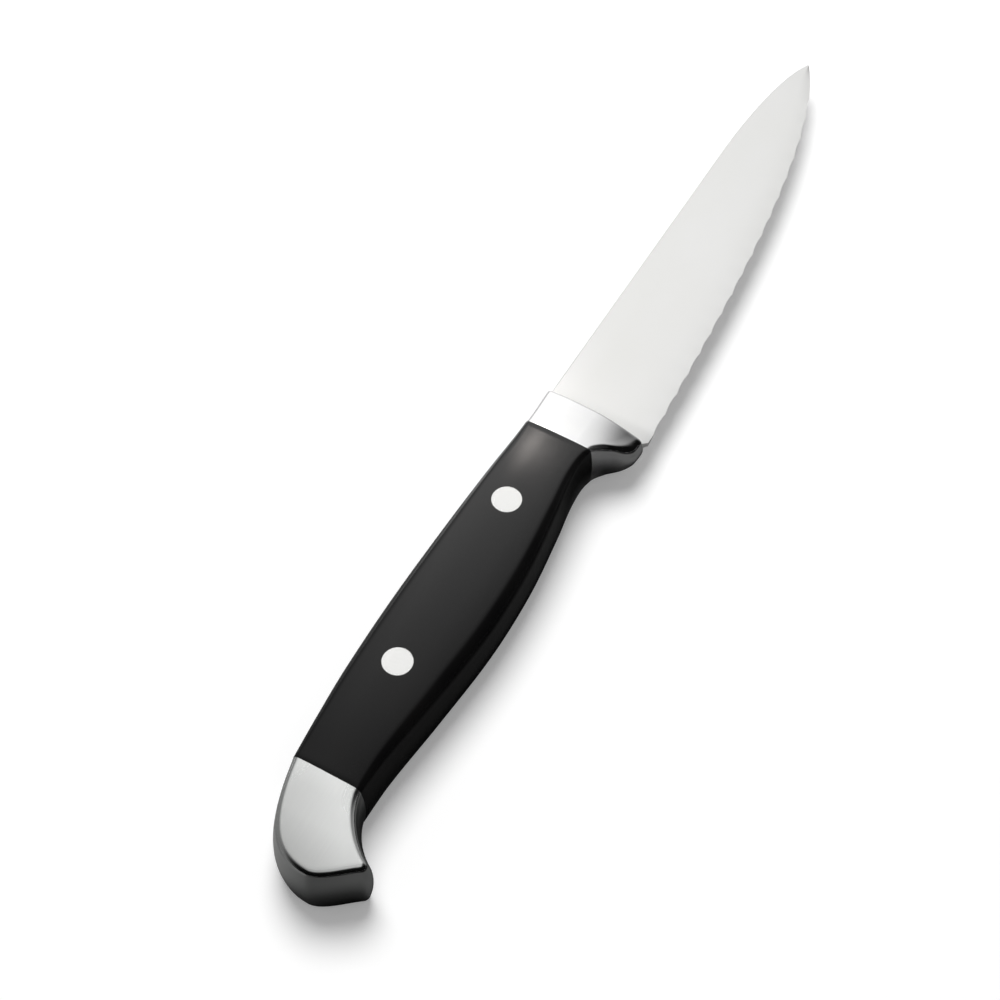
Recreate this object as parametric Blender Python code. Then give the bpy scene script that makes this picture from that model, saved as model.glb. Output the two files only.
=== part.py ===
"""Steak knife with a riveted two-scale handle, a bolster with a finger guard and a hooked end cap.

The knife lies on its left side. +X runs to the point, +Y to the spine and +Z up through the thickness,
so the right side faces up. The origin is under the middle of the knife, on the surface that it lies on.

Inside this script a place is (station, height, level) in millimetres. The station runs along the knife
from the bolster's front face, positive to the point. The height is measured from the axis of the tang,
positive to the spine. The level is measured from the middle of the thickness, positive to the right side.
"""

import math

import bmesh
import bpy
from mathutils import Vector
from mathutils.geometry import interpolate_bezier

MM = 0.001

# Blade
BLADE_LENGTH = 111.5
BLADE_THICKNESS = 2.2
POINT_THICKNESS = 0.7
POINT_WIDTH = 0.3
POINT_HEIGHT = 2.1
SPINE_HEIGHT = 7.4
HEEL_BELOW_GUARD = 0.3
SPINE_STRAIGHT = 78.0
SPINE_FALL = 0.4
SPINE_CHAMFER = 0.25
EDGE_SHOULDER = 0.44
EDGE_THICKNESS = 0.10
BEVEL_HEIGHT = 1.5
PLUNGE_LENGTH = 5.0
HEEL_SLANT = 1.4
HEEL_RISE = 1.4

# Scallops ground into the left face of the edge
SCALLOP_PITCH = 5.8
SCALLOP_DEPTH = 0.3
SCALLOP_HEIGHT = 2.8
SCALLOP_HOLLOW = 0.14
HEEL_PLAIN = 4.0
POINT_PLAIN = 4.5

# Tang, inside the handle
TANG_RELIEF = 0.2
TANG_FRONT_WIDTH = 11.0
TANG_REAR_WIDTH = 8.0
TAIL_WIDTH = 6.0
TAIL_DEPTH = 6.0
TAIL_SHOULDER = 2.0
TANG_CHAMFER = 0.2

# Side faces of the whole handle, with a flat land along the middle and a crown on each side of it
HANDLE_THICKNESS = 14.2
LAND_HEIGHT = -2.0
LAND_WIDTH = 5.0
CROWN_RADIUS = 50.0

# Bolster
BOLSTER_LENGTH = 9.4
BOLSTER_FRONT_THICKNESS = 11.6
BOLSTER_REAR_THICKNESS = 12.6
GUARD_DEPTH = 15.6
GUARD_THICKNESS = 5.0
GUARD_RIM = 2.6
BOLSTER_RIM = 1.2
BOLSTER_BULGE = 0.4
BOLSTER_FRONT_ROUND = 0.5

# Scales
SCALE_LENGTH = 88.0
SCALE_TAPER = 24.0
SCALE_RIM = 3.2
SCALE_BULGE = 0.5
SWELL_POWER = 0.8

# End cap
CAP_LENGTH = 20.0
CAP_RIM = 1.4
CAP_BULGE = 0.7
CAP_SPINE_HEIGHT = 6.8
CAP_BELLY_DEPTH = 9.5
HOOK_DEPTH = 18.5
HOOK_BACKSET = 12.5
HOOK_RADIUS = 2.2
HOOK_RIM_SHARE = 0.8
HOOK_LEAVE = 217.0
HOOK_ARRIVE = 330.0
CAP_FLAT = 0.4
CAP_FLAT_SETBACK = 11.0
CAP_FLAT_DEPTH = 10.4

# Rivets
RIVET_SETBACK = 19.2
RIVET_SPACING = 42.2
FRONT_RIVET_HEIGHT = 0.1
REAR_RIVET_HEIGHT = -0.4
RIVET_HEAD = 6.2
RIVET_HEAD_DEPTH = 1.8
RIVET_BARREL = 4.4
RIVET_PIN = 2.6

# Clearances
TANG_CLEARANCE = 0.3
RIVET_CLEARANCE = 0.1

# Fineness of the faceting
CURVE_STEPS = 12
SCALLOP_STEPS = 6
POINT_STEPS = 4
CROWN_STEPS = 3
RIM_STEPS = 4
WALL_STEPS = 2
RISE_STEPS = 3
JOINT_STEPS = 6
SCALE_STEPS = 26
BOLSTER_STEPS = 12
CAP_STEPS = 10
ROUND_STEPS = 40
SHARP_ANGLE = 28.0

HEEL_DEPTH = GUARD_DEPTH + HEEL_BELOW_GUARD
HANDLE_JOINT = -BOLSTER_LENGTH
CAP_JOINT = HANDLE_JOINT - SCALE_LENGTH
KNIFE_END = CAP_JOINT - CAP_LENGTH


def clear_scene():
    for obj in list(bpy.data.objects):
        bpy.data.objects.remove(obj, do_unlink=True)


def material(name, color, roughness, metallic):
    made = bpy.data.materials.new(name)
    made.use_nodes = True
    made.diffuse_color = (*color, 1)
    shader = made.node_tree.nodes["Principled BSDF"]
    shader.inputs["Base Color"].default_value = (*color, 1)
    shader.inputs["Roughness"].default_value = roughness
    shader.inputs["Metallic"].default_value = metallic
    return made


def mix(a, b, share):
    return a + (b - a) * share


def ease(share):
    """0 to 1 with a level start and end."""
    share = min(max(share, 0.0), 1.0)
    return share * share * (3 - 2 * share)


def bezier(start, handle_a, handle_b, end, steps=CURVE_STEPS):
    corners = [Vector((*point, 0)) for point in (start, handle_a, handle_b, end)]
    return [(point.x, point.y) for point in interpolate_bezier(*corners, steps + 1)]


def along(curve, station):
    """Height of a polyline at a station. The polyline runs from a low station to a high one."""
    for (left, low), (right, high) in zip(curve, curve[1:]):
        if station <= right:
            return mix(low, high, max(station - left, 0) / (right - left))
    return curve[-1][1]


def smooth_line(knots, steps=6):
    """A polyline with a rounded course through knots that run from a low station to a high one."""
    slopes = []
    for index in range(len(knots)):
        before = knots[max(index - 1, 0)]
        after = knots[min(index + 1, len(knots) - 1)]
        slopes.append((after[1] - before[1]) / (after[0] - before[0]))
    line = []
    for index in range(len(knots) - 1):
        (start, low), (end, high) = knots[index], knots[index + 1]
        third = (end - start) / 3
        handle_a = (start + third, low + slopes[index] * third)
        handle_b = (end - third, high - slopes[index + 1] * third)
        line += bezier((start, low), handle_a, handle_b, (end, high), steps)[:-1]
    return line + [knots[-1]]


def scale_station(share):
    """Station at a share of the scales' length, 0 at the bolster and 1 at the end cap."""
    return mix(HANDLE_JOINT, CAP_JOINT, share)


# Side view of the blade: a straight spine that falls to the point, and one long curve for the edge
BLADE_SPINE = [(0.0, SPINE_HEIGHT)] + bezier(
    (SPINE_STRAIGHT, SPINE_HEIGHT - SPINE_FALL),
    (mix(SPINE_STRAIGHT, BLADE_LENGTH, 0.40), SPINE_HEIGHT - SPINE_FALL),
    (mix(SPINE_STRAIGHT, BLADE_LENGTH, 0.83), SPINE_HEIGHT - 1.9),
    (BLADE_LENGTH, POINT_HEIGHT + POINT_WIDTH / 2),
)
BLADE_EDGE = bezier(
    (0.0, -HEEL_DEPTH),
    (0.36 * BLADE_LENGTH, -HEEL_DEPTH + 2.1),
    (0.83 * BLADE_LENGTH, -HEEL_DEPTH + 5.1),
    (BLADE_LENGTH, POINT_HEIGHT - POINT_WIDTH / 2),
    steps=4 * CURVE_STEPS,
)

# Side view of the bolster and the scales, which share their lines so that they meet flush
HANDLE_SPINE = smooth_line(
    [
        (CAP_JOINT, CAP_SPINE_HEIGHT),
        (scale_station(0.90), 7.7),
        (scale_station(0.76), 8.7),
        (scale_station(0.56), 9.2),
        (scale_station(0.36), 8.9),
        (scale_station(0.16), 8.1),
        (HANDLE_JOINT, 7.2),
        (0.0, SPINE_HEIGHT),
    ]
)
HANDLE_BELLY = smooth_line(
    [
        (CAP_JOINT, -CAP_BELLY_DEPTH),
        (scale_station(0.90), -9.7),
        (scale_station(0.72), -11.3),
        (scale_station(0.52), -12.6),
        (scale_station(0.34), -12.1),
        (scale_station(0.18), -10.2),
        (scale_station(0.07), -8.6),
        (HANDLE_JOINT, -8.8),
        (0.72 * HANDLE_JOINT, -11.3),
        (0.54 * HANDLE_JOINT, -GUARD_DEPTH + 1.7),
        (0.36 * HANDLE_JOINT, -GUARD_DEPTH + 0.3),
        (0.15 * HANDLE_JOINT, -GUARD_DEPTH),
        (0.0, -GUARD_DEPTH),
    ]
)


def cap_outline():
    """Side view of the cap, from the joint at the spine, round the end and the hook, to the belly."""
    center = (CAP_JOINT - HOOK_BACKSET, -HOOK_DEPTH + HOOK_RADIUS)
    leave, arrive = math.radians(HOOK_LEAVE), math.radians(HOOK_ARRIVE)

    def on_hook(angle):
        return (
            center[0] + HOOK_RADIUS * math.cos(angle),
            center[1] + HOOK_RADIUS * math.sin(angle),
        )

    hook_in, hook_out = on_hook(leave), on_hook(arrive)
    end = (KNIFE_END, -8.5)
    back = bezier(
        (CAP_JOINT, CAP_SPINE_HEIGHT),
        (CAP_JOINT - 0.48 * CAP_LENGTH, CAP_SPINE_HEIGHT - 2.3),
        (KNIFE_END, 1.8),
        end,
        CAP_STEPS,
    )
    rear = bezier(
        end,
        (KNIFE_END, end[1] - 3.2),
        (hook_in[0] - 2.1, hook_in[1] + 2.8),
        hook_in,
        CAP_STEPS,
    )
    tip = [on_hook(mix(leave, arrive, step / CAP_STEPS)) for step in range(CAP_STEPS + 1)]
    belly = bezier(
        hook_out,
        (hook_out[0] + 1.5, hook_out[1] + 2.6),
        (mix(hook_out[0], CAP_JOINT, 0.5), -CAP_BELLY_DEPTH - 1.2),
        (CAP_JOINT, -CAP_BELLY_DEPTH),
        CAP_STEPS,
    )
    return back + rear[1:] + tip[1:] + belly[1:]


CAP_OUTLINE = cap_outline()

# The origin lies under the middle of the knife's box
TOP_LEVEL = HANDLE_THICKNESS / 2
HIGHEST = max(height for _, height in HANDLE_SPINE + BLADE_SPINE + CAP_OUTLINE)
LOWEST = min(height for _, height in HANDLE_BELLY + BLADE_EDGE + CAP_OUTLINE)
ORIGIN_STATION = (BLADE_LENGTH + KNIFE_END) / 2
ORIGIN_HEIGHT = (HIGHEST + LOWEST) / 2


def place(station, height, level):
    return Vector((station - ORIGIN_STATION, height - ORIGIN_HEIGHT, level + TOP_LEVEL)) * MM


def mesh_object(name, bm, finish=None):
    bmesh.ops.recalc_face_normals(bm, faces=bm.faces)
    mesh = bpy.data.meshes.new(name)
    bm.to_mesh(mesh)
    bm.free()
    mesh.shade_smooth()
    mesh.set_sharp_from_angle(angle=math.radians(SHARP_ANGLE))
    obj = bpy.data.objects.new(name, mesh)
    bpy.context.scene.collection.objects.link(obj)
    if finish:
        mesh.materials.append(finish)
    else:
        obj.hide_render = True
        obj.display_type = "WIRE"
    return obj


def loft(name, rings, finish=None):
    """A closed solid through rings of as many points each, with a flat face on each end."""
    bm = bmesh.new()
    rows = [[bm.verts.new(point) for point in ring] for ring in rings]
    for row, next_row in zip(rows, rows[1:]):
        for index in range(len(row)):
            bm.faces.new((row[index - 1], row[index], next_row[index], next_row[index - 1]))
    bm.faces.new(rows[0])
    bm.faces.new(rows[-1])
    return mesh_object(name, bm, finish)


def cylinder(name, place_at, diameter, bottom, top):
    """A round cutter across the handle at a (station, height), between two levels."""
    bm = bmesh.new()
    bmesh.ops.create_cone(
        bm,
        cap_ends=True,
        segments=ROUND_STEPS,
        radius1=diameter / 2 * MM,
        radius2=diameter / 2 * MM,
        depth=(top - bottom) * MM,
    )
    obj = mesh_object(name, bm)
    obj.location = place(*place_at, (bottom + top) / 2)
    return obj


def combine(obj, other, operation):
    boolean = obj.modifiers.new(other.name, "BOOLEAN")
    boolean.operation = operation
    boolean.object = other


def plate_section(top, bottom, half, chamfer):
    """Ten points round a plate, from its top edge down the right side and back up the left side."""
    return [
        (top, half - chamfer),
        (top - chamfer, half),
        (bottom + chamfer, half),
        (bottom, half - chamfer),
        (bottom, chamfer - half),
        (bottom + chamfer / 3, chamfer * 2 / 3 - half),
        (bottom + chamfer * 2 / 3, chamfer / 3 - half),
        (bottom + chamfer, -half),
        (top - chamfer, -half),
        (top, chamfer - half),
    ]


def scallop_count():
    return int((BLADE_LENGTH - HEEL_PLAIN - POINT_PLAIN) / SCALLOP_PITCH)


def scallop_wave(station):
    """0 at a tooth between two scallops and on the plain edge, 1 in the middle of a scallop."""
    share = (station - HEEL_PLAIN) / SCALLOP_PITCH
    if not 0 < share < scallop_count():
        return 0.0
    share %= 1.0
    return 4 * share * (1 - share)


def blade_section(station):
    """Ten points round the blade: spine, flat-ground right face, edge, scallop, left face."""
    spine = along(BLADE_SPINE, station)
    edge = along(BLADE_EDGE, station)
    width = spine - edge
    wave = scallop_wave(station)
    half = mix(BLADE_THICKNESS, POINT_THICKNESS, (station / BLADE_LENGTH) ** 2) / 2
    chamfer = min(SPINE_CHAMFER, width / 4, half / 2)
    bevel = min(BEVEL_HEIGHT, width / 3)
    ground = ease(station / PLUNGE_LENGTH)
    shoulder = mix(half, min(EDGE_SHOULDER / 2, half), ground)
    keen = mix(half - chamfer, EDGE_THICKNESS / 2, ground)

    scallop = mix(bevel, min(SCALLOP_HEIGHT, width / 2), wave)
    scallop_share = (scallop - bevel) / (width - bevel - chamfer)
    scallop_level = -mix(shoulder, half, scallop_share)
    cut_edge = edge + min(SCALLOP_DEPTH, width / 6) * wave
    edge_level = wave * (shoulder - keen) / 2
    section = [
        (spine, half - chamfer),
        (spine - chamfer, half),
        (edge + bevel, shoulder),
        (cut_edge, edge_level + keen),
        (cut_edge, edge_level - keen),
    ]
    for share in (1 / 3, 2 / 3):
        height = mix(cut_edge, edge + scallop, share)
        level = mix(edge_level - keen, scallop_level, share)
        section.append((height, level + SCALLOP_HOLLOW * wave))
    return section + [
        (edge + scallop, scallop_level),
        (spine - chamfer, -half),
        (spine, chamfer - half),
    ]


def tang_sections(grow):
    """(station, section) along the tang from its tail to the blade, larger all round by grow."""
    half = BLADE_THICKNESS / 2 - TANG_RELIEF + grow
    widths = [
        (CAP_JOINT - TAIL_DEPTH - grow, TAIL_WIDTH),
        (CAP_JOINT + TAIL_SHOULDER - grow, TAIL_WIDTH),
        (CAP_JOINT + 2 * TAIL_SHOULDER - grow, TANG_REAR_WIDTH),
        (0.0, TANG_FRONT_WIDTH),
    ]
    return [
        (station, plate_section(width / 2 + grow, -width / 2 - grow, half, TANG_CHAMFER))
        for station, width in widths
    ]


def ring(station, section):
    return [place(station, height, level) for height, level in section]


def make_blade(finish, rivet_places):
    stations = [HEEL_SLANT, mix(HEEL_SLANT, HEEL_PLAIN, 0.5)]
    for index in range(scallop_count() * SCALLOP_STEPS + 1):
        stations.append(HEEL_PLAIN + index * SCALLOP_PITCH / SCALLOP_STEPS)
    last = stations[-1]
    for step in range(1, POINT_STEPS + 1):
        stations.append(mix(BLADE_LENGTH, last, (1 - step / POINT_STEPS) ** 2))
    heel = HEEL_RISE - HEEL_DEPTH
    sections = tang_sections(0.0)
    sections.append((0.0, plate_section(SPINE_HEIGHT, heel, BLADE_THICKNESS / 2, SPINE_CHAMFER)))
    sections += [(station, blade_section(station)) for station in stations]
    blade = loft("blade", [ring(station, section) for station, section in sections], finish)
    hole = RIVET_BARREL + 2 * RIVET_CLEARANCE
    for name, place_at in rivet_places:
        cutter = cylinder(f"cut_tang_{name}", place_at, hole, -BLADE_THICKNESS, BLADE_THICKNESS)
        combine(blade, cutter, "DIFFERENCE")


def face_level(peak, height):
    """Level of a side face at a height: flat along the land, and crowned beyond it."""
    beyond = max(abs(height - LAND_HEIGHT) - LAND_WIDTH / 2, 0)
    return peak - beyond * beyond / (2 * CROWN_RADIUS)


def wall_steps(bulge, rim):
    """(inset, drop, share of the wall) from mid-thickness up a bulged wall and round its rim."""
    steps = [(bulge * (step / WALL_STEPS) ** 2, rim, step / WALL_STEPS) for step in range(WALL_STEPS)]
    for step in range(RIM_STEPS + 1):
        angle = math.pi / 2 * step / RIM_STEPS
        steps.append((bulge + rim * (1 - math.cos(angle)), rim * (1 - math.sin(angle)), 1.0))
    return steps


def handle_section(top, bottom, peak, spine_rim, belly_rim, bulge):
    """Right half of a cross-section, from the belly over the side face to the spine, at mid-thickness."""
    start, end = bottom + bulge + belly_rim, top - bulge - spine_rim
    land_start, land_end = LAND_HEIGHT - LAND_WIDTH / 2, LAND_HEIGHT + LAND_WIDTH / 2
    steps = [step / CROWN_STEPS for step in range(CROWN_STEPS)]
    crowned = [mix(land_start, start, step) for step in reversed(steps)]
    crowned += [mix(land_end, end, step) for step in steps]
    section = []
    for inset, drop, share in wall_steps(bulge, belly_rim):
        section.append((bottom + inset, share * (face_level(peak, start) - drop)))
    section += [(height, face_level(peak, height)) for height in crowned]
    for inset, drop, share in reversed(wall_steps(bulge, spine_rim)):
        section.append((top - inset, share * (face_level(peak, end) - drop)))
    return section


def whole(section):
    """Both halves of a cross-section, from its right half."""
    return section + [(height, -level) for height, level in reversed(section[1:-1])]


def scale_section(station):
    behind = HANDLE_JOINT - station
    share = behind / SCALE_LENGTH
    swell = math.sin(math.pi * min(max(share, 0), 1)) ** SWELL_POWER
    full = 1 - max(1 - behind / SCALE_TAPER, 0) ** 2
    joint_rim = mix(BOLSTER_RIM, CAP_RIM, share)
    return handle_section(
        along(HANDLE_SPINE, station),
        along(HANDLE_BELLY, station),
        mix(BOLSTER_REAR_THICKNESS, HANDLE_THICKNESS, full) / 2,
        mix(joint_rim, SCALE_RIM, swell),
        mix(joint_rim, SCALE_RIM, swell),
        mix(mix(BOLSTER_BULGE, CAP_BULGE, share), SCALE_BULGE, swell),
    )


def scale_stations():
    return [scale_station(1 - step / SCALE_STEPS) for step in range(SCALE_STEPS + 1)]


def make_handle_blank():
    """Both scales as one uncut body, which trims the rivets flush."""
    rings = [ring(station, whole(scale_section(station))) for station in scale_stations()]
    return loft("cut_handle_surface", rings)


def make_tang_space():
    """The room that the tang takes in the bolster, the scales and the end cap."""
    sections = tang_sections(TANG_CLEARANCE)
    sections[-1] = (BLADE_THICKNESS, sections[-1][1])
    return loft("cut_tang_space", [ring(station, section) for station, section in sections])


def seat_level(station):
    """Level of the seat under a rivet's head."""
    section = scale_section(station)
    highest = max(level for _, level in section)
    return highest - RIVET_HEAD_DEPTH


def make_scale(name, side, finish, tang_space, rivet_places):
    rings = []
    for station in scale_stations():
        section = scale_section(station)
        rings.append([place(station, height, side * level) for height, level in section])
    scale = loft(name, rings, finish)
    combine(scale, tang_space, "DIFFERENCE")
    barrel = RIVET_BARREL + 2 * RIVET_CLEARANCE
    head = RIVET_HEAD + 2 * RIVET_CLEARANCE
    for rivet, place_at in rivet_places:
        seat, beyond = seat_level(place_at[0]), HANDLE_THICKNESS
        bore = cylinder(f"cut_{name}_{rivet}_bore", place_at, barrel, -beyond, beyond)
        levels = (seat, beyond) if side > 0 else (-beyond, -seat)
        sink = cylinder(f"cut_{name}_{rivet}_sink", place_at, head, *levels)
        combine(scale, bore, "DIFFERENCE")
        combine(scale, sink, "DIFFERENCE")


def turned(name, profile, place_at, finish, blank):
    """A body turned round an upright axis across the handle, trimmed to the handle's surface."""
    bm = bmesh.new()
    points = [bm.verts.new((radius * MM, 0, level * MM)) for radius, level in profile]
    edges = [bm.edges.new(pair) for pair in zip(points, points[1:])]
    bmesh.ops.spin(
        bm,
        geom=points + edges,
        cent=(0, 0, 0),
        axis=(0, 0, 1),
        angle=math.tau,
        steps=ROUND_STEPS,
        use_merge=True,
        use_duplicate=False,
    )
    bmesh.ops.remove_doubles(bm, verts=bm.verts, dist=1e-6)
    obj = mesh_object(name, bm, finish)
    obj.location = place(*place_at, 0.0)
    combine(obj, blank, "INTERSECT")


def make_rivet(name, place_at, finish, blank):
    """A two-piece rivet: a pin from the right side, pressed into a barrel from the left side."""
    seat, beyond = seat_level(place_at[0]), HANDLE_THICKNESS
    head, pin = RIVET_HEAD / 2, RIVET_PIN / 2
    pin_profile = [
        (0, beyond),
        (head, beyond),
        (head, seat),
        (pin, seat),
        (pin, RIVET_HEAD_DEPTH - seat),
        (0, RIVET_HEAD_DEPTH - seat),
    ]
    turned(f"{name}_rivet_pin", pin_profile, place_at, finish, blank)
    barrel, bore = RIVET_BARREL / 2, pin + RIVET_CLEARANCE
    barrel_profile = [
        (0, -seat - RIVET_CLEARANCE),
        (bore, -seat - RIVET_CLEARANCE),
        (bore, seat - RIVET_CLEARANCE),
        (barrel, seat - RIVET_CLEARANCE),
        (barrel, -seat),
        (head, -seat),
        (head, -beyond),
        (0, -beyond),
    ]
    turned(f"{name}_rivet_barrel", barrel_profile, place_at, finish, blank)


def bolster_section(station, inset):
    share = station / HANDLE_JOINT
    section = handle_section(
        along(HANDLE_SPINE, station) - inset,
        along(HANDLE_BELLY, station) + inset,
        mix(BOLSTER_FRONT_THICKNESS, BOLSTER_REAR_THICKNESS, share) / 2 - inset,
        BOLSTER_RIM,
        mix(BOLSTER_RIM, GUARD_RIM, math.sin(math.pi * share)),
        BOLSTER_BULGE,
    )
    guard_level = face_level(BOLSTER_FRONT_THICKNESS / 2, -GUARD_DEPTH)
    thinned = mix(GUARD_THICKNESS / 2 / guard_level, 1.0, share**2)

    def narrowed(height):
        return mix(1.0, thinned, max(-height / GUARD_DEPTH, 0) ** 2)

    return [(height, level * narrowed(height)) for height, level in section]


def make_bolster(finish, tang_space):
    front = -BOLSTER_FRONT_ROUND
    rings = []
    for step in range(BOLSTER_STEPS + 1):
        station = mix(HANDLE_JOINT, front, step / BOLSTER_STEPS)
        rings.append(ring(station, whole(bolster_section(station, 0.0))))
    for step in range(1, RIM_STEPS + 1):
        angle = math.pi / 2 * step / RIM_STEPS
        station = front + BOLSTER_FRONT_ROUND * math.sin(angle)
        inset = BOLSTER_FRONT_ROUND * (1 - math.cos(angle))
        rings.append(ring(station, whole(bolster_section(station, inset))))
    combine(loft("bolster", rings, finish), tang_space, "DIFFERENCE")


def inset_outline(outline, distance):
    """The cap's outline drawn in by a distance. Its two ends stay on the joint with the scales."""
    moved = [(outline[0][0], outline[0][1] - distance)]
    for before, point, after in zip(outline, outline[1:], outline[2:]):
        run, rise = after[0] - before[0], after[1] - before[1]
        length = math.hypot(run, rise)
        moved.append((point[0] - rise / length * distance, point[1] + run / length * distance))
    return moved + [(outline[-1][0], outline[-1][1] + distance)]


def cap_ring(side, inset, drop, share, rise=0.0):
    """A ring round the cap at one step of its wall, or up its side face from the rim to the flat."""
    outline = inset_outline(CAP_OUTLINE, inset)
    first, last = outline[0], outline[-1]
    for step in range(1, JOINT_STEPS):
        outline.append((CAP_JOINT, mix(last[1], first[1], step / JOINT_STEPS)))
    middle = (CAP_JOINT - CAP_FLAT_SETBACK, CAP_SPINE_HEIGHT - CAP_FLAT_DEPTH)
    toward = rise * (1 - CAP_FLAT)
    fade = CAP_FLAT_SETBACK * (1 - CAP_FLAT)
    peak = HANDLE_THICKNESS / 2
    points = []
    for station, height in outline:
        station, height = mix(station, middle[0], toward), mix(height, middle[1], toward)
        crown = peak - face_level(peak, max(height, -CAP_BELLY_DEPTH))
        level = peak - crown * (1 - ease((CAP_JOINT - station) / fade))
        points.append(place(station, height, side * share * (level - drop)))
    return points


def make_end_cap(finish, tang_space):
    rim = min(CAP_RIM, HOOK_RIM_SHARE * HOOK_RADIUS)
    steps = wall_steps(min(CAP_BULGE, HOOK_RADIUS - rim), rim)
    steps += [(*steps[-1], step / RISE_STEPS) for step in range(1, RISE_STEPS + 1)]
    right = [cap_ring(1, *step) for step in steps]
    left = [cap_ring(-1, *step) for step in steps[1:]]
    combine(loft("end_cap", left[::-1] + right, finish), tang_space, "DIFFERENCE")


def make_knife():
    clear_scene()
    satin_steel = material("satin_steel", (0.80, 0.80, 0.78), 0.32, 1.0)
    polished_steel = material("polished_steel", (0.86, 0.86, 0.86), 0.08, 1.0)
    brushed_steel = material("brushed_steel", (0.76, 0.77, 0.76), 0.25, 1.0)
    black_plastic = material("black_plastic", (0.012, 0.012, 0.013), 0.28, 0.0)

    front = HANDLE_JOINT - RIVET_SETBACK
    rivet_places = [
        ("front", (front, FRONT_RIVET_HEIGHT)),
        ("rear", (front - RIVET_SPACING, REAR_RIVET_HEIGHT)),
    ]
    tang_space = make_tang_space()
    blank = make_handle_blank()
    make_blade(satin_steel, rivet_places)
    make_bolster(polished_steel, tang_space)
    make_scale("right_scale", 1, black_plastic, tang_space, rivet_places)
    make_scale("left_scale", -1, black_plastic, tang_space, rivet_places)
    for name, place_at in rivet_places:
        make_rivet(name, place_at, polished_steel, blank)
    make_end_cap(brushed_steel, tang_space)


make_knife()
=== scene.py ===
# %% [markdown]
# # A steak knife, dressed for its picture
# The CAD model of the knife is exact but plain. This lesson gives each piece a finer mesh and a real
# finish, then builds the small studio that the picture was taken in. Every piece stays on the CAD's
# lines, so the two always agree.

# %% Load the frame
import math

import bmesh
import bpy
from mathutils import Matrix, Vector
from mathutils.geometry import interpolate_bezier


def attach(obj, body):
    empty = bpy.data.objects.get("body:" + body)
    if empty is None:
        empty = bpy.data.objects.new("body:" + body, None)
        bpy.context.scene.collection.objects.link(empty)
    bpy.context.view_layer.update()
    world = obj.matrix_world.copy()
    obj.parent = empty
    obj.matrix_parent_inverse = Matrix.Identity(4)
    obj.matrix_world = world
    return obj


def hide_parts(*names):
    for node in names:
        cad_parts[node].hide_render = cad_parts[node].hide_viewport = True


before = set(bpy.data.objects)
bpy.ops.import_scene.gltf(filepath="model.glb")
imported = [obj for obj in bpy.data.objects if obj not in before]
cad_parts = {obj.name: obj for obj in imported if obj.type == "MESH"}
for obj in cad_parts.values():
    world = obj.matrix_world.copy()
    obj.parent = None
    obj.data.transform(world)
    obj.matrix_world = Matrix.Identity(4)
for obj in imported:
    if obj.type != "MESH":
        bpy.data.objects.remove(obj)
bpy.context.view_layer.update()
print("CAD nodes:", sorted(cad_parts))

# %% [markdown]
# ## One way to say where things are
# A cutler measures a knife from the bolster: so far along, so far towards the spine, so far up through
# the thickness. The lesson keeps that habit in millimetres, and `place` turns it into Blender's metres.
# Zero is the bolster's front face, the axis of the tang and the middle of the thickness.

# %% Measures of the knife
MM = 0.001
BLADE_LENGTH = 111.5
BOLSTER_LENGTH = 9.4
SCALE_LENGTH = 88.0
CAP_LENGTH = 20.0
HANDLE_THICKNESS = 14.2
HANDLE_JOINT = -BOLSTER_LENGTH
CAP_JOINT = HANDLE_JOINT - SCALE_LENGTH
KNIFE_END = CAP_JOINT - CAP_LENGTH
MIDDLE_HEIGHT = -4.65


def place(station, height, level):
    middle = (BLADE_LENGTH + KNIFE_END) / 2
    return Vector((station - middle, height - MIDDLE_HEIGHT, level + HANDLE_THICKNESS / 2)) * MM


def mix(a, b, share):
    return a + (b - a) * share


def ease(share):
    share = min(max(share, 0.0), 1.0)
    return share * share * (3 - 2 * share)


print("point of the blade:", tuple(round(x, 4) for x in place(BLADE_LENGTH, 2.1, 0)))

# %% [markdown]
# ## Curves for the side view
# The spine and the belly are drawn as a draughtsman draws them: a few knots, and a fair curve through
# them. Bezier segments do this well, because each knot's slope can be taken from its two neighbours.


# %% Fair curves through knots
def bezier(start, handle_a, handle_b, end, steps):
    corners = [Vector((*point, 0)) for point in (start, handle_a, handle_b, end)]
    return [(point.x, point.y) for point in interpolate_bezier(*corners, steps + 1)]


def smooth_line(knots, steps=10):
    rises = []
    for index in range(len(knots)):
        before, after = knots[max(index - 1, 0)], knots[min(index + 1, len(knots) - 1)]
        rises.append((after[1] - before[1]) / (after[0] - before[0]))
    line = []
    for index in range(len(knots) - 1):
        (start, low), (end, high) = knots[index], knots[index + 1]
        third = (end - start) / 3
        handle_a = (start + third, low + rises[index] * third)
        handle_b = (end - third, high - rises[index + 1] * third)
        line += bezier((start, low), handle_a, handle_b, (end, high), steps)[:-1]
    return line + [knots[-1]]


def along(curve, station):
    for (left, low), (right, high) in zip(curve, curve[1:]):
        if station <= right:
            return mix(low, high, max(station - left, 0) / (right - left))
    return curve[-1][1]


def scale_station(share):
    return mix(HANDLE_JOINT, CAP_JOINT, share)


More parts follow.
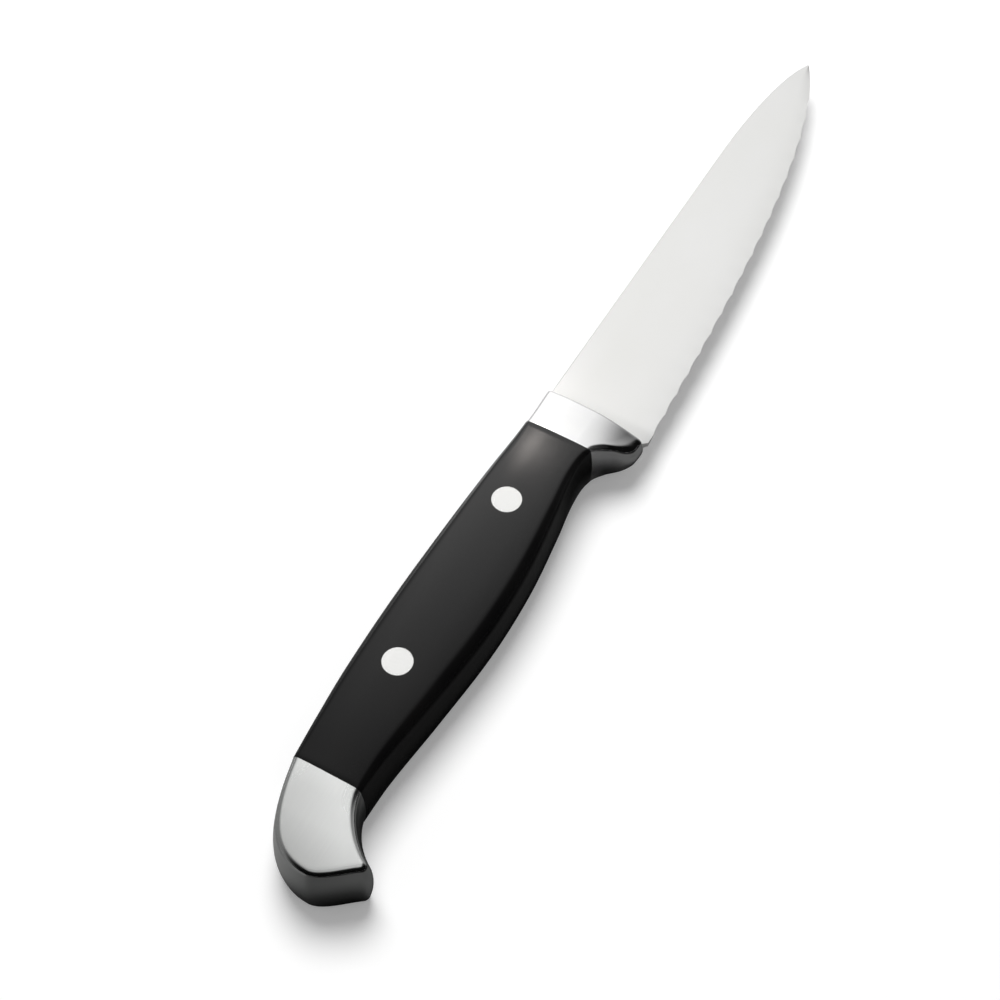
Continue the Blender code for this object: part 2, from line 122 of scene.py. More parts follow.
SPINE_HEIGHT = 7.4
GUARD_DEPTH = 15.6
CAP_SPINE_HEIGHT = 6.8
CAP_BELLY_DEPTH = 9.5
HANDLE_SPINE = smooth_line(
    [(CAP_JOINT, CAP_SPINE_HEIGHT)]
    + [
        (scale_station(share), height)
        for share, height in ((0.9, 7.7), (0.76, 8.7), (0.56, 9.2), (0.36, 8.9), (0.16, 8.1))
    ]
    + [(HANDLE_JOINT, 7.2), (0.0, SPINE_HEIGHT)]
)
HANDLE_BELLY = smooth_line(
    [(CAP_JOINT, -CAP_BELLY_DEPTH)]
    + [
        (scale_station(share), height)
        for share, height in (
            (0.9, -9.7),
            (0.72, -11.3),
            (0.52, -12.6),
            (0.34, -12.1),
            (0.18, -10.2),
            (0.07, -8.6),
        )
    ]
    + [
        (HANDLE_JOINT, -8.8),
        (0.72 * HANDLE_JOINT, -11.3),
        (0.54 * HANDLE_JOINT, -GUARD_DEPTH + 1.7),
        (0.36 * HANDLE_JOINT, -GUARD_DEPTH + 0.3),
        (0.15 * HANDLE_JOINT, -GUARD_DEPTH),
        (0.0, -GUARD_DEPTH),
    ]
)
print("points on the spine line:", len(HANDLE_SPINE), "and on the belly line:", len(HANDLE_BELLY))

# %% [markdown]
# ## The tools of the bench
# Nearly every piece of a knife is a section that changes as it runs along: the blade gets thinner, the
# handle swells and dips. It could be sculpted, or lofted with a curve and a taper. Here a filled circle
# is extruded once for every station, and after each extrusion the new face's corners are moved onto that
# station's section. The result is a closed body of clean four-sided faces, in the order of the stations.


# %% Bench tools: pick, extrude along sections, cut, bevel
def pick(piece):
    bpy.ops.object.select_all(action="DESELECT")
    piece.select_set(True)
    bpy.context.view_layer.objects.active = piece


def follow_sections(name, sections):
    bpy.ops.object.select_all(action="DESELECT")
    bpy.ops.mesh.primitive_circle_add(vertices=len(sections[0]), radius=MM, fill_type="NGON")
    piece = bpy.context.object
    piece.name = piece.data.name = name
    bpy.ops.object.mode_set(mode="EDIT")
    bpy.ops.mesh.select_all(action="SELECT")
    corners = list(range(len(sections[0])))
    for number, section in enumerate(sections):
        if number:
            bpy.ops.mesh.extrude_region_move()
        mesh = bmesh.from_edit_mesh(piece.data)
        mesh.verts.ensure_lookup_table()
        if number:
            spokes = [
                [edge.other_vert(mesh.verts[c]) for edge in mesh.verts[c].link_edges] for c in corners
            ]
            corners = [next(vert.index for vert in spoke if vert.select) for spoke in spokes]
        for corner, point in zip(corners, section):
            mesh.verts[corner].co = point
    bpy.ops.mesh.select_all(action="SELECT")
    bpy.ops.mesh.normals_make_consistent(inside=False)
    bpy.ops.object.mode_set(mode="OBJECT")
    return piece


def cut(piece, tool, operation="DIFFERENCE", keep_tool=False):
    pick(piece)
    boolean = piece.modifiers.new("cut", "BOOLEAN")
    boolean.operation, boolean.object, boolean.solver = operation, tool, "EXACT"
    bpy.ops.object.modifier_apply(modifier=boolean.name)
    if not keep_tool:
        bpy.data.objects.remove(tool, do_unlink=True)


def bevel_rim(piece, is_end, width, segments=2):
    """Breaks the sharp edge round each flat face that is_end picks."""
    pick(piece)
    bpy.ops.object.mode_set(mode="EDIT")
    bpy.ops.mesh.select_mode(type="FACE")
    bpy.ops.mesh.select_all(action="DESELECT")
    mesh = bmesh.from_edit_mesh(piece.data)
    for face in mesh.faces:
        face.select_set(is_end(face))
    bmesh.update_edit_mesh(piece.data)
    bpy.ops.mesh.region_to_loop()
    bpy.ops.mesh.bevel(offset=width * MM, segments=segments, affect="EDGES")
    bpy.ops.mesh.select_mode(type="VERT")
    bpy.ops.object.mode_set(mode="OBJECT")


def smooth(piece, angle=30):
    pick(piece)
    bpy.ops.object.shade_smooth_by_angle(angle=math.radians(angle))
    piece.data.calc_loop_triangles()
    print(piece.name, "has", len(piece.data.loop_triangles), "triangles")


BENCH = (pick, follow_sections, cut, bevel_rim, smooth)
print("bench tools:", ", ".join(tool.__name__ for tool in BENCH))

# %% [markdown]
# ## The blade
# Such a blade starts as a rolled strip, here taken as 2.2 mm thick. It is blanked to its outline
# together with its tang, ground flat on both faces towards the edge, and given a row of scallops with a
# wheel that is dressed round. In the photograph the right face stays plain down to a wavy edge, so the
# lesson takes the scallops to be ground from the left face only, which no photograph shows. The section
# below has the same pieces: a chamfered spine, two flat grinds, an edge of about a tenth of a millimetre
# and, on the left, a hollow that comes and goes with each scallop.

# %% Lines and sections of the blade
BLADE_THICKNESS, POINT_THICKNESS = 2.2, 0.7
SPINE_CHAMFER = 0.25
EDGE_BEVEL, SHOULDER_HALF, EDGE_HALF = 1.5, 0.22, 0.05
PLUNGE = 5.0
HEEL_DEPTH = 15.9
SPINE_STRAIGHT = 78.0
POINT_HEIGHT = 2.1
BLADE_SPINE = [(0.0, SPINE_HEIGHT)] + bezier(
    (SPINE_STRAIGHT, SPINE_HEIGHT - 0.4),
    (mix(SPINE_STRAIGHT, BLADE_LENGTH, 0.40), SPINE_HEIGHT - 0.4),
    (mix(SPINE_STRAIGHT, BLADE_LENGTH, 0.83), SPINE_HEIGHT - 1.9),
    (BLADE_LENGTH, POINT_HEIGHT + 0.15),
    30,
)
BLADE_EDGE = bezier(
    (0.0, -HEEL_DEPTH),
    (0.36 * BLADE_LENGTH, -HEEL_DEPTH + 2.1),
    (0.83 * BLADE_LENGTH, -HEEL_DEPTH + 5.1),
    (BLADE_LENGTH, POINT_HEIGHT - 0.15),
    90,
)
SCALLOP_PITCH = 5.8
SCALLOP_REACH, SCALLOP_HOLLOW = 2.8, 0.16
SCALLOPS = 17
HEEL_PLAIN = 4.0


def scallop_wave(station):
    share = (station - HEEL_PLAIN) / SCALLOP_PITCH
    if not 0 < share < SCALLOPS:
        return 0.0
    share %= 1.0
    return 4 * share * (1 - share)


def chamfer_steps(chamfer):
    """How far in and down three points of a rounded corner lie."""
    turns = (0, 0.785, 1.571)
    return [(chamfer * (1 - math.sin(turn)), chamfer * (1 - math.cos(turn))) for turn in turns]


def blade_section(station):
    spine, edge = along(BLADE_SPINE, station), along(BLADE_EDGE, station)
    width = spine - edge
    wave = scallop_wave(station)
    tapered = mix(BLADE_THICKNESS, POINT_THICKNESS, (station / BLADE_LENGTH) ** 2) / 2
    half = min(tapered, SHOULDER_HALF + 0.032 * width)
    chamfer = min(SPINE_CHAMFER, width / 4, half / 2)
    bevel = min(EDGE_BEVEL, width / 3)
    ground = ease(station / PLUNGE)
    shoulder = mix(half, SHOULDER_HALF, ground)
    keen = mix(half - chamfer, EDGE_HALF, ground)
    scallop = mix(bevel, min(SCALLOP_REACH, width / 2), wave)
    scallop_level = -mix(shoulder, half, (scallop - bevel) / (width - bevel - chamfer))
    cut_edge = edge + min(0.3, width / 6) * wave
    edge_level = wave * (shoulder - keen) / 2
    rounding = chamfer_steps(chamfer)
    section = [(spine - down, half - side) for side, down in rounding]
    for step in (1, 2, 3, 4):
        section.append((mix(spine - chamfer, edge + bevel, step / 4), mix(half, shoulder, step / 4)))
    section += [(cut_edge, edge_level + keen), (cut_edge, edge_level - keen)]
    for share in (0.2, 0.4, 0.6, 0.8):
        hollow = SCALLOP_HOLLOW * wave * 4 * share * (1 - share)
        level = mix(edge_level - keen, scallop_level, share) + hollow
        section.append((mix(cut_edge, edge + scallop, share), level))
    section.append((edge + scallop, scallop_level))
    for step in (1, 2, 3):
        height = mix(edge + scallop, spine - chamfer, step / 3)
        section.append((height, -mix(-scallop_level, half, step / 3)))
    return section + [(spine - down, side - half) for side, down in reversed(rounding[:-1])]


print("corners in a section of the blade:", len(blade_section(50)))

# %% [markdown]
# The tang is part of the same strip, so it is part of the same sweep: four plain sections from the tail
# in the end cap to the root, then the blade. A second, slightly larger sweep of the tang is kept as the
# tool that cuts its room in the handle. The rivets' holes are drilled as in the shop, with round tools.

# %% Sweep the blade and drill its tang
TANG_CLEARANCE, TANG_CHAMFER = 0.3, 0.2


def plate_section(top, bottom, half, chamfer):
    """As many corners as the blade's section has, so that the tang and the blade are one sweep."""
    rounding = chamfer_steps(chamfer)
    section = [(top - down, half - side) for side, down in rounding]
    section += [(mix(top - chamfer, bottom + chamfer, step / 4), half) for step in (1, 2, 3, 4)]
    section += [(bottom, half - chamfer), (bottom, chamfer - half)]
    for share in (0.2, 0.4, 0.6, 0.8, 1.0):
        section.append((bottom + chamfer * share, mix(chamfer, 0, share) - half))
    for step in (1, 2, 3):
        section.append((mix(bottom + chamfer, top - chamfer, step / 3), -half))
    return section + [(top - down, side - half) for side, down in reversed(rounding[:-1])]


def tang_sections(grow):
    half = BLADE_THICKNESS / 2 - 0.2 + grow
    widths = ((CAP_JOINT - 6 - grow, 6), (CAP_JOINT + 2 - grow, 6), (CAP_JOINT + 4 - grow, 8), (0.0, 11))
    return [
        (station, plate_section(width / 2 + grow, -width / 2 - grow, half, TANG_CHAMFER))
        for station, width in widths
    ]


def at_station(station, section):
    return [place(station, height, level) for height, level in section]


def round_tool(name, place_at, diameter, bottom, top):
    bpy.ops.object.select_all(action="DESELECT")
    middle = place(*place_at, (bottom + top) / 2)
    size = dict(radius=diameter / 2 * MM, depth=(top - bottom) * MM)
    bpy.ops.mesh.primitive_cylinder_add(vertices=96, location=middle, **size)
    tool = bpy.context.object
    tool.name = name
    bpy.ops.object.transform_apply(location=True, rotation=True, scale=True)
    return tool


RIVET_HEAD, RIVET_SINK, RIVET_BORE = 6.2, 6.28, 4.6
RIVET_PLACES = (("front", (HANDLE_JOINT - 19.2, 0.1)), ("rear", (HANDLE_JOINT - 61.4, -0.4)))
SCALLOP_STEPS = 12
stations = [1.4, 2.0, 2.6, 3.3]
stations += [
    HEEL_PLAIN + step * SCALLOP_PITCH / SCALLOP_STEPS for step in range(SCALLOPS * SCALLOP_STEPS + 1)
]
stations += [mix(stations[-1], BLADE_LENGTH, share) for share in (0.2, 0.4, 0.6, 0.75, 0.87, 0.95, 1.0)]
root_section = plate_section(SPINE_HEIGHT, 1.4 - HEEL_DEPTH, BLADE_THICKNESS / 2, SPINE_CHAMFER)
sections = tang_sections(0.0) + [(0.0, root_section)]
sections += [(station, blade_section(station)) for station in stations]
blade = follow_sections("knife_blade", [at_station(*pair) for pair in sections])
for name, place_at in RIVET_PLACES:
    cut(blade, round_tool("tang_drill", place_at, RIVET_BORE, -2, 2))
smooth(blade, 20)

# %% [markdown]
# ## The handle's section
# Bolster, scales and rivets share one skin, so one section function serves them all. Its side face is
# flat in the middle and falls away in a large radius, the rim is a quarter round, and the wall bulges a
# little. The scales' rim is larger in the middle of the grip, where the fingers close round it.


# %% Section of the handle
LAND_MIDDLE, LAND_HALF = -2.0, 2.5
CROWN_RADIUS = 50
BOLSTER_FRONT, BOLSTER_BACK = 11.6, 12.6
HANDLE_TAPER = 24


def face_level(peak, height):
    beyond = max(abs(height - LAND_MIDDLE) - LAND_HALF, 0)
    return peak - beyond * beyond / (2 * CROWN_RADIUS)


def wall_steps(bulge, rim, walls=4, rounds=10):
    steps = [(bulge * (step / walls) ** 2, rim, step / walls) for step in range(walls)]
    for step in range(rounds + 1):
        turn = math.pi / 2 * step / rounds
        steps.append((bulge + rim * (1 - math.cos(turn)), rim * (1 - math.sin(turn)), 1.0))
    return steps


def handle_section(top, bottom, peak, spine_rim, belly_rim, bulge):
    start, end = bottom + bulge + belly_rim, top - bulge - spine_rim
    shares = [step / 6 for step in range(6)]
    crowned = [mix(LAND_MIDDLE - LAND_HALF, start, share) for share in reversed(shares)]
    crowned += [mix(LAND_MIDDLE + LAND_HALF, end, share) for share in shares]
    section = []
    for inset, drop, share in wall_steps(bulge, belly_rim):
        section.append((bottom + inset, share * (face_level(peak, start) - drop)))
    section += [(height, face_level(peak, height)) for height in crowned]
    for inset, drop, share in reversed(wall_steps(bulge, spine_rim)):
        section.append((top - inset, share * (face_level(peak, end) - drop)))
    return section


def whole(section):
    return section + [(height, -level) for height, level in reversed(section[1:-1])]


def scale_section(station):
    behind = HANDLE_JOINT - station
    share = behind / SCALE_LENGTH
    swell = math.sin(math.pi * min(max(share, 0), 1)) ** 0.8
    full = 1 - max(1 - behind / HANDLE_TAPER, 0) ** 2
    rim = mix(mix(1.2, 1.4, share), 3.2, swell)
    return handle_section(
        along(HANDLE_SPINE, station),
        along(HANDLE_BELLY, station),
        mix(BOLSTER_BACK, HANDLE_THICKNESS, full) / 2,
        rim,
        rim,
        mix(mix(0.4, 0.7, share), 0.5, swell),
    )


print("corners in half a handle section:", len(scale_section(scale_station(0.5))))

# %% [markdown]
# ## The bolster
# A bolster is cast or forged, slid over the tang and polished. Its lower end is drawn out into the
# finger guard, and the front edge that meets the blade is softly rounded. The sweep runs from the scales
# to the blade, and its last rings shrink to make the rounded front edge. The room for the tang is then
# cut out.

# %% Sweep the bolster
BOLSTER_ROUND = 0.5
GUARD_HALF = 2.5
SEAM_BEVEL = 0.07


def bolster_section(station, inset):
    share = station / HANDLE_JOINT
    section = handle_section(
        along(HANDLE_SPINE, station) - inset,
        along(HANDLE_BELLY, station) + inset,
        mix(BOLSTER_FRONT, BOLSTER_BACK, share) / 2 - inset,
        1.2,
        mix(1.2, 2.6, math.sin(math.pi * share)),
        0.4,
    )
    thinned = mix(GUARD_HALF / face_level(BOLSTER_FRONT / 2, -GUARD_DEPTH), 1.0, share**2)
    narrowed = [mix(1.0, thinned, max(-height / GUARD_DEPTH, 0) ** 2) for height, _ in section]
    return [(height, level * factor) for (height, level), factor in zip(section, narrowed)]


rings = []
for step in range(31):
    station = mix(HANDLE_JOINT, -BOLSTER_ROUND, step / 30)
    rings.append(at_station(station, whole(bolster_section(station, 0.0))))
for step in range(1, 7):
    turn = math.pi / 2 * step / 6
    inset = BOLSTER_ROUND * (1 - math.cos(turn))
    station = BOLSTER_ROUND * (math.sin(turn) - 1)
    rings.append(at_station(station, whole(bolster_section(station, inset))))
bolster = follow_sections("knife_bolster", rings)
bevel_rim(bolster, lambda face: face.normal.x < -0.99 and len(face.verts) > 20, SEAM_BEVEL)


def tang_room():
    sections = tang_sections(TANG_CLEARANCE)
    sections[-1] = (BLADE_THICKNESS, sections[-1][1])
    return follow_sections("tang_room", [at_station(*pair) for pair in sections])


cut(bolster, tang_room())
smooth(bolster, 25)

# %% [markdown]
# ## The scales
# The two black grips are moulded, drilled and counterbored, and riveted on. They are mirror images, so
# the right one is swept, hollowed and drilled, and the left one is a mirrored copy with a mesh of its
# own. A copy made with a negative scale is inside out, so its normals are made consistent again.

# %% Sweep and drill the right scale
HEAD_DEPTH = 1.8
SCALE_STATIONS = [scale_station(1 - step / 70) for step in range(71)]


def seat_level(station):
    return max(level for _, level in scale_section(station)) - HEAD_DEPTH


right_scale = follow_sections("grip_right", [at_station(x, scale_section(x)) for x in SCALE_STATIONS])
bevel_rim(right_scale, lambda face: abs(face.normal.x) > 0.99 and len(face.verts) > 20, SEAM_BEVEL)
cut(right_scale, tang_room())
for name, place_at in RIVET_PLACES:
    seat = seat_level(place_at[0])
    cut(right_scale, round_tool("bore", place_at, RIVET_BORE, -HANDLE_THICKNESS, HANDLE_THICKNESS))
    cut(right_scale, round_tool("sink", place_at, RIVET_SINK, seat, HANDLE_THICKNESS))

# %% Mirror it for the left scale
pick(right_scale)
bpy.ops.object.duplicate(linked=False)
left_scale = bpy.context.object
left_scale.name = left_scale.data.name = "grip_left"
bpy.ops.object.mode_set(mode="EDIT")
bpy.ops.mesh.select_all(action="SELECT")
bpy.ops.transform.resize(value=(1, 1, -1), center_override=place(0, 0, 0))
bpy.ops.mesh.normals_make_consistent(inside=False)
bpy.ops.object.mode_set(mode="OBJECT")
smooth(right_scale, 25)
smooth(left_scale, 25)

# %% [markdown]
# ## The rivets
# A cutler's rivet is a pin pressed into a barrel, each with a flat head. Once pressed, both heads are
# ground flush with the grip. So each half starts as a round head that stands proud, its inner face is
# inset and extruded into the shank, and the whole is cut off with the skin of the handle. A fine bevel
# round the head leaves the thin ring that catches the light.

# %% Turn the rivets and grind them flush
HEAD_BEVEL = 0.08
PIN_INSET, BARREL_INSET, BARREL_WALL, PRESS_GAP = 1.8, 0.9, 0.8, 0.1
skin = follow_sections("handle_skin", [at_station(x, whole(scale_section(x))) for x in SCALE_STATIONS])


def draw_out(piece, side, steps):
    """Insets the face that looks inwards and extrudes it, once for each (inset, depth)."""
    pick(piece)
    bpy.ops.object.mode_set(mode="EDIT")
    bpy.ops.mesh.select_mode(type="FACE")
    bpy.ops.mesh.select_all(action="DESELECT")
    mesh = bmesh.from_edit_mesh(piece.data)
    for face in mesh.faces:
        face.select_set(face.normal.z * side < -0.99)
    bmesh.update_edit_mesh(piece.data)
    for inset, depth in steps:
        bpy.ops.mesh.inset(thickness=inset * MM)
        bpy.ops.mesh.extrude_region_move(TRANSFORM_OT_translate={"value": (0, 0, -side * depth * MM)})
    bpy.ops.mesh.select_mode(type="VERT")
    bpy.ops.object.mode_set(mode="OBJECT")


def rivet_half(name, place_at, side, steps):
    seat = seat_level(place_at[0])
    low, high = (seat, HANDLE_THICKNESS) if side > 0 else (-HANDLE_THICKNESS, -seat)
    half = round_tool(name, place_at, RIVET_HEAD, low, high)
    half.data.name = name
    draw_out(half, side, steps)
    cut(half, skin, "INTERSECT", keep_tool=True)
    middle = place(0, 0, 0).z
    top = max(abs(vert.co.z - middle) for vert in half.data.vertices)

    def is_head(face):
        outward = side * face.normal.z > 0.9
        return outward and abs(face.calc_center_median().z - middle) > top - MM

    bevel_rim(half, is_head, HEAD_BEVEL)
    smooth(half, 12)
    return half


rivets = []
for name, place_at in RIVET_PLACES:
    seat = seat_level(place_at[0])
    pin = [(PIN_INSET, 2 * seat - HEAD_DEPTH)]
    barrel = [(BARREL_INSET, 2 * seat - PRESS_GAP), (BARREL_WALL, PRESS_GAP - 2 * seat)]
    rivets.append(rivet_half(f"rivet_{name}_pin", place_at, 1, pin))
    rivets.append(rivet_half(f"rivet_{name}_barrel", place_at, -1, barrel))
bpy.data.objects.remove(skin, do_unlink=True)

# %% [markdown]
# ## The end cap
# The hooked pommel is cast and polished. Seen from the side it has an outline of four curves: the back,
# the rear, the round nose of the hook and the hollow of the belly. The same sweep works through the
# thickness here: the outline is followed from the left face, round the rim, straight through and out to
# the right face, and the last rings close in on the flat in the middle of each side.

# %% Outline of the end cap
HOOK_RADIUS = 2.2
HOOK_CENTER = (CAP_JOINT - 12.5, -16.3)
CAP_ROUND = 24


def cap_outline():
    leave, arrive = math.radians(217), math.radians(330)
    hook = [
        (HOOK_CENTER[0] + HOOK_RADIUS * math.cos(turn), HOOK_CENTER[1] + HOOK_RADIUS * math.sin(turn))
        for turn in (mix(leave, arrive, step / CAP_ROUND) for step in range(CAP_ROUND + 1))
    ]
    (x_in, y_in), (x_out, y_out) = hook[0], hook[-1]
    start, end, joint = (CAP_JOINT, CAP_SPINE_HEIGHT), (KNIFE_END, -8.5), (CAP_JOINT, -CAP_BELLY_DEPTH)
    back = bezier(start, (CAP_JOINT - 9.6, CAP_SPINE_HEIGHT - 2.3), (KNIFE_END, 1.8), end, CAP_ROUND)
    rear = bezier(end, (KNIFE_END, -11.7), (x_in - 2.1, y_in + 2.8), hook[0], CAP_ROUND)
    hollow_pull = (mix(x_out, CAP_JOINT, 0.5), -CAP_BELLY_DEPTH - 1.2)
    belly = bezier(hook[-1], (x_out + 1.5, y_out + 2.6), hollow_pull, joint, CAP_ROUND)
    return back + rear[1:] + hook[1:] + belly[1:]


def drawn_in(outline, distance):
    moved = [(outline[0][0], outline[0][1] - distance)]
    for before, point, after in zip(outline, outline[1:], outline[2:]):
        run, rise = after[0] - before[0], after[1] - before[1]
        length = math.hypot(run, rise)
        moved.append((point[0] - rise / length * distance, point[1] + run / length * distance))
    return moved + [(outline[-1][0], outline[-1][1] + distance)]


CAP_OUTLINE = cap_outline()
print("points on the cap's outline:", len(CAP_OUTLINE))


# %% Sweep the end cap through its thickness
CAP_BULGE, CAP_RIM = 0.7, 1.4
CAP_MIDDLE = (CAP_JOINT - 11, -3.6)
CROWN_RUN = 6.6


def cap_ring(side, inset, drop, share, rise=0.0):
    outline = drawn_in(CAP_OUTLINE, inset)
    low, high = outline[-1][1], outline[0][1]
    outline += [(CAP_JOINT, mix(low, high, step / 12)) for step in range(1, 12)]
    toward = rise * 0.6
    points = []
    for station, height in outline:
        station, height = mix(station, CAP_MIDDLE[0], toward), mix(height, CAP_MIDDLE[1], toward)
        crown = HANDLE_THICKNESS / 2 - face_level(HANDLE_THICKNESS / 2, max(height, -CAP_BELLY_DEPTH))
        level = HANDLE_THICKNESS / 2 - crown * (1 - ease((CAP_JOINT - station) / CROWN_RUN))
        points.append(place(station, height, side * share * (level - drop)))
    return points


steps = wall_steps(CAP_BULGE, CAP_RIM)
steps += [(*steps[-1], step / 10) for step in range(1, 11)]
right_rings = [cap_ring(1, *step) for step in steps]
left_rings = [cap_ring(-1, *step) for step in steps[1:]]
end_cap = follow_sections("knife_end_cap", left_rings[::-1] + right_rings)
cut(end_cap, tang_room())
smooth(end_cap, 30)

# %% [markdown]
# ## A few nodes that every finish shares
# A finish is a Principled shader whose colour, roughness and bump are driven by noise on Object
# coordinates, so a pattern has its real size in millimetres and stays put when the piece moves. Written
# out node by node each finish would be a page long. A handful of small helpers keeps it to a few lines:
# one for a math node, one for a stretched value, and one for each socket that is usually driven.


# %% Math and ranges
def combined(tree, operation, first, second):
    """The result of one math node on two sockets."""
    node = tree.nodes.new("ShaderNodeMath")
    node.operation = operation
    tree.links.new(first, node.inputs[0])
    tree.links.new(second, node.inputs[1])
    return node.outputs[0]


def ranged(tree, value, near, far, low, high, soft=True):
    """A value stretched from near..far to low..high. Low and high may be numbers or sockets."""
    ranger = tree.nodes.new("ShaderNodeMapRange")
    ranger.interpolation_type = "SMOOTHSTEP" if soft else "LINEAR"
    for slot, number in (("From Min", near), ("From Max", far), ("To Min", low), ("To Max", high)):
        if isinstance(number, (int, float)):
            ranger.inputs[slot].default_value = number
        else:
            tree.links.new(number, ranger.inputs[slot])
    tree.links.new(value, ranger.inputs["Value"])
    return ranger.outputs["Result"]


def on_object(tree, operation, toward=None):
    """The length of the Object coordinates, or how far they reach in one direction."""
    place_on = tree.nodes.new("ShaderNodeTexCoord")
    node = tree.nodes.new("ShaderNodeVectorMath")
    node.operation = operation
    if toward is not None:
        node.inputs[1].default_value = toward
    tree.links.new(place_on.outputs["Object"], node.inputs[0])
    return node.outputs["Value"]


print("helpers:", ", ".join(helper.__name__ for helper in (combined, ranged, on_object)))


# %% Noise, tint, spread, bump and slopes
def new_finish(name, color, roughness, metallic):
    finish = bpy.data.materials.new(name)
    finish.use_nodes = True
    shader = finish.node_tree.nodes["Principled BSDF"]
    shader.inputs["Base Color"].default_value = (*color, 1)
    shader.inputs["Roughness"].default_value = roughness
    shader.inputs["Metallic"].default_value = metallic
    print("finish:", name)
    return finish, finish.node_tree, shader


def noise(tree, stretch, detail):
    """Noise on Object coordinates, with stretch in cells per millimetre along each axis."""
    place_on = tree.nodes.new("ShaderNodeTexCoord")
    mapping = tree.nodes.new("ShaderNodeMapping")
    mapping.inputs["Scale"].default_value = [cells / MM for cells in stretch]
    texture = tree.nodes.new("ShaderNodeTexNoise")
    texture.inputs["Scale"].default_value = 1.0
    texture.inputs["Detail"].default_value = detail
    tree.links.new(place_on.outputs["Object"], mapping.inputs["Vector"])
    tree.links.new(mapping.outputs["Vector"], texture.inputs["Vector"])
    return texture.outputs["Fac"]


NOISE_LOW, NOISE_HIGH = 0.3, 0.7


def spread(tree, value, low, high, target):
    """Stretches a noise to run from low to high, into a socket."""
    tree.links.new(ranged(tree, value, NOISE_LOW, NOISE_HIGH, low, high, soft=False), target)


def tint(tree, value, dark, light, target):
    node = tree.nodes.new("ShaderNodeValToRGB")
    first, last = node.color_ramp.elements
    first.position, last.position = NOISE_LOW, NOISE_HIGH
    first.color, last.color = (*dark, 1), (*light, 1)
    tree.links.new(value, node.inputs["Fac"])
    tree.links.new(node.outputs["Color"], target)


def bump(tree, shader, value, height):
    node = tree.nodes.new("ShaderNodeBump")
    node.inputs["Strength"].default_value = 1.0
    node.inputs["Distance"].default_value = height * MM
    tree.links.new(value, node.inputs["Height"])
    tree.links.new(node.outputs["Normal"], shader.inputs["Normal"])


def slopes(tree, runs, target):
    """The product of slow changes across a piece, each (direction, near, far, low, high) in metres."""
    total = None
    for toward, near, far, low, high in runs:
        value = ranged(tree, on_object(tree, "DOT_PRODUCT", toward), near, far, low, high, soft=False)
        total = combined(tree, "MULTIPLY", total, value) if total else value
    tree.links.new(total, target)


print("noise is stretched from", NOISE_LOW, "to", NOISE_HIGH)

# %% [markdown]
# ## Satin steel for the blade
# A blade's satin finish is a field of very fine scratches that the belt leaves across the blade. Seen
# whole it is an even pale grey, and up close it is fine lines. Noise that is stretched across the blade
# drives a faint change of colour, a change of roughness and a very small bump, so the lines are there
# at every distance without a picture of them. The scratches also scatter some light like chalk does.
# About a quarter of matt share stands for that, and it keeps the blade grey, and not black, where it
# reflects something dark.

# %% Satin blade steel
satin_steel, tree, shader = new_finish(
    "satin_blade_steel", (0.83, 0.83, 0.81), roughness=0.34, metallic=0.72
)
clouds = noise(tree, (0.03, 0.06, 0.06), detail=2.0)
belt_lines = noise(tree, (4.5, 0.12, 0.12), detail=4.0)
tint(tree, clouds, (0.787, 0.787, 0.768), (0.811, 0.811, 0.801), shader.inputs["Base Color"])
spread(tree, belt_lines, 0.275, 0.295, shader.inputs["Roughness"])
bump(tree, shader, belt_lines, height=0.0002)

# %% [markdown]
# ## Polished steel for the bolster and the rivets
# Both are buffed to a near mirror, which a low roughness with faint cloudy buffing marks gives. The
# broad side face has a small matt share and the guard has none. That is a choice: in the
# photograph the face is pale and the guard goes black. The rivet heads are a little duller, as heads
# that are faced on a belt together with the grip would be.

# %% Polished bolster and rivet steel
BOLSTER_FACE_MATT = [((0.0, 1.0, 0.0), -0.006, 0.001, 1.0, 0.85)]
polished_steel, tree, shader = new_finish(
    "polished_bolster_steel", (0.87, 0.87, 0.87), roughness=0.09, metallic=1.0
)
buffing = noise(tree, (0.5, 0.25, 0.5), detail=3.0)
tint(tree, buffing, (0.865, 0.865, 0.87), (0.885, 0.885, 0.88), shader.inputs["Base Color"])
spread(tree, buffing, 0.09, 0.12, shader.inputs["Roughness"])
slopes(tree, BOLSTER_FACE_MATT, shader.inputs["Metallic"])
bump(tree, shader, noise(tree, (2.0, 6.0, 6.0), detail=2.0), height=0.0001)

rivet_steel, tree, shader = new_finish(
    "polished_rivet_steel", (0.90, 0.90, 0.89), roughness=0.12, metallic=0.75
)
faced = noise(tree, (7.0, 1.2, 1.2), detail=2.0)
tint(tree, faced, (0.74, 0.74, 0.73), (0.77, 0.77, 0.76), shader.inputs["Base Color"])
spread(tree, faced, 0.13, 0.17, shader.inputs["Roughness"])
bump(tree, shader, faced, height=0.0002)
